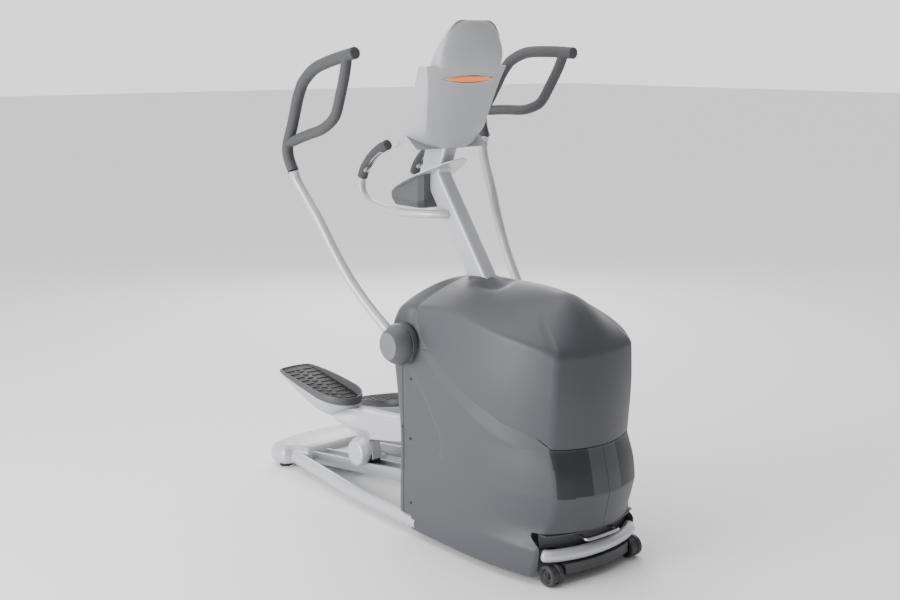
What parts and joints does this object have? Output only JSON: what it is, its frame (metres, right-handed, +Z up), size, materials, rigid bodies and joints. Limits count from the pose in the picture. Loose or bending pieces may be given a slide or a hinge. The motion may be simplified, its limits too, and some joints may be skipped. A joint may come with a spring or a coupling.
{
  "type": "elliptical trainer",
  "caption": "Front-drive elliptical trainer with moulded flywheel covers, rail-guided foot links with pedals, swinging arms, fixed pulse bar and a console on a leaning mast",
  "frame": {"origin": "under the middle of the machine's box, on the floor", "axes": "+X to the user's left, +Y to the rear where the user stands, +Z up"},
  "size_m": [0.816, 1.6912, 1.744],
  "materials": {
    "cover_plastic": "fine spark texture, slate grey",
    "dark_trim": "fine texture, dark grey",
    "silver_paint": "silver powder coat, satin",
    "silver_plastic": "silver paint on moulded plastic",
    "rail_aluminium": "extruded, clear anodised",
    "black_steel": "black powder coat",
    "bare_steel": "turned or brushed steel",
    "cast_wheel": "cast iron, turned rim",
    "pulley_plastic": "glass filled nylon",
    "bronze": "sintered bronze",
    "grip_foam": "moulded foam, dark grey",
    "black_rubber": "moulded rubber",
    "roller_rubber": "polyurethane tread",
    "screen": "polished dark window",
    "orange_lens": "translucent orange, polished",
    "green_button": "polished",
    "red_button": "polished"
  },
  "bodies": {
    "root": {"base_frame": "black_steel", "side_tubes": "silver_paint", "rear_stabiliser": "silver_paint", "rails": "rail_aluminium", "bumper_tube": "silver_paint", "lift_rod": "silver_paint", "front_skirt": "dark_trim", "right_shroud": "cover_plastic", "left_shroud": "cover_plastic", "top_cover": "cover_plastic", "rear_cover": "cover_plastic", "mast": "silver_paint", "fixed_handlebar": "silver_paint", "pulse_grips": "grip_foam", "pulse_plates": "bare_steel", "console_back": "silver_plastic", "console_front": "dark_trim", "display": "screen", "light_lens": "orange_lens", "tray_plate": "silver_plastic", "bottle_holder": "dark_trim", "rubber_feet": "black_rubber", "power_inlet": "dark_trim", "bearings": "bronze", "flywheel_axle": "bare_steel", "drive_belt": "black_rubber", "brake_magnets": "black_steel", "cover_screws": "bare_steel", "hub_collars": "dark_trim"},
    "crank": {"crank_axle": "bare_steel", "crank_arms": "black_steel", "drive_pulley": "pulley_plastic"},
    "flywheel": {"flywheel": "cast_wheel"},
    "idler": {"idler_pulley": "pulley_plastic"},
    "right_arm": {"right_arm": "silver_paint", "right_hand_grip": "grip_foam", "right_hub_cap": "dark_trim"},
    "left_arm": {"left_arm": "silver_paint", "left_hand_grip": "grip_foam", "left_hub_cap": "dark_trim"},
    "right_arm_link": {"right_arm_link": "black_steel"},
    "left_arm_link": {"left_arm_link": "black_steel"},
    "right_carriage": {"right_roller_axle": "bare_steel"},
    "left_carriage": {"left_roller_axle": "bare_steel"},
    "right_foot": {"right_foot_beam": "silver_paint", "right_pedal_shell": "silver_plastic", "right_pedal_tray": "dark_trim", "right_pedal_mat": "black_rubber", "right_roller_cover": "silver_plastic"},
    "left_foot": {"left_foot_beam": "silver_paint", "left_pedal_shell": "silver_plastic", "left_pedal_tray": "dark_trim", "left_pedal_mat": "black_rubber", "left_roller_cover": "silver_plastic"},
    "right_roller": {"right_roller": "roller_rubber"},
    "left_roller": {"left_roller": "roller_rubber"},
    "right_wheel": {"right_wheel": "roller_rubber"},
    "left_wheel": {"left_wheel": "roller_rubber"},
    "start_button": {"start_button": "green_button"},
    "stop_button": {"stop_button": "red_button"}
  },
  "joints": [
    {"name": "crank_spin", "type": "hinge", "parent": "root", "child": "crank", "pos_m": [0, -0.56961, 0.516], "axis": [1, 0, 0], "continuous": true},
    {"name": "flywheel_spin", "type": "hinge", "parent": "root", "child": "flywheel", "pos_m": [0, -0.55461, 0.2], "axis": [1, 0, 0], "continuous": true},
    {"name": "idler_spin", "type": "hinge", "parent": "root", "child": "idler", "pos_m": [0, -0.45552, 0.31591], "axis": [1, 0, 0], "continuous": true},
    {"name": "right_link_turn", "type": "hinge", "parent": "crank", "child": "right_arm_link", "pos_m": [-0.052, -0.56961, 0.471], "axis": [1, 0, 0], "continuous": true},
    {"name": "left_link_turn", "type": "hinge", "parent": "crank", "child": "left_arm_link", "pos_m": [0.052, -0.56961, 0.561], "axis": [1, 0, 0], "continuous": true},
    {"name": "right_stride", "type": "slide", "parent": "root", "child": "right_carriage", "axis": [0, -0.9906, 0.1368], "range_m": [-0.14, 0.14]},
    {"name": "left_stride", "type": "slide", "parent": "root", "child": "left_carriage", "axis": [0, -0.9906, 0.1368], "range_m": [-0.141, 0.141]},
    {"name": "right_foot_tilt", "type": "hinge", "parent": "right_carriage", "child": "right_foot", "pos_m": [-0.12, 0.27561, 0.16154], "axis": [-1, 0, 0], "range_deg": [0, 19]},
    {"name": "left_foot_tilt", "type": "hinge", "parent": "left_carriage", "child": "left_foot", "pos_m": [0.12, 0.15943, 0.17758], "axis": [-1, 0, 0], "range_deg": [-19.1, 0.1]},
    {"name": "right_roller_spin", "type": "hinge", "parent": "right_carriage", "child": "right_roller", "pos_m": [-0.12, 0.27561, 0.16154], "axis": [1, 0, 0], "range_deg": [-150, 150]},
    {"name": "left_roller_spin", "type": "hinge", "parent": "left_carriage", "child": "left_roller", "pos_m": [0.12, 0.15943, 0.17758], "axis": [1, 0, 0], "range_deg": [-150, 150]},
    {"name": "right_arm_swing", "type": "hinge", "parent": "root", "child": "right_arm", "pos_m": [-0.294, -0.14261, 0.678], "axis": [1, 0, 0], "range_deg": [-10, 10]},
    {"name": "left_arm_swing", "type": "hinge", "parent": "root", "child": "left_arm", "pos_m": [0.294, -0.14261, 0.678], "axis": [1, 0, 0], "range_deg": [-10, 10]},
    {"name": "right_wheel_spin", "type": "hinge", "parent": "root", "child": "right_wheel", "pos_m": [-0.18, -0.77461, 0.036], "axis": [1, 0, 0], "continuous": true},
    {"name": "left_wheel_spin", "type": "hinge", "parent": "root", "child": "left_wheel", "pos_m": [0.18, -0.77461, 0.036], "axis": [1, 0, 0], "continuous": true},
    {"name": "start_press", "type": "slide", "parent": "root", "child": "start_button", "axis": [0, -0.9215, -0.3885], "range_m": [0, 0.0015], "stiffness_N_per_m": 400, "springref_m": -0.0005},
    {"name": "stop_press", "type": "slide", "parent": "root", "child": "stop_button", "axis": [0, -0.9215, -0.3885], "range_m": [0, 0.0015], "stiffness_N_per_m": 400, "springref_m": -0.0005}
  ],
  "couplings": [
    {"joint": "flywheel_spin", "follows": "crank_spin", "ratio": 7.5},
    {"joint": "idler_spin", "follows": "crank_spin", "ratio": -6},
    {"joint": "right_link_turn", "follows": "crank_spin", "ratio": -1},
    {"joint": "left_link_turn", "follows": "crank_spin", "ratio": -1},
    {"joint": "left_stride", "follows": "right_stride", "ratio": -1},
    {"joint": "left_foot_tilt", "follows": "right_foot_tilt", "ratio": -1},
    {"joint": "right_roller_spin", "follows": "right_stride", "rad_per_m": 18.182},
    {"joint": "left_roller_spin", "follows": "right_stride", "rad_per_m": -18.182},
    {"joint": "right_arm_swing", "follows": "right_stride", "rad_per_m": -1.2},
    {"joint": "left_arm_swing", "follows": "right_stride", "rad_per_m": 1.2}
  ]
}
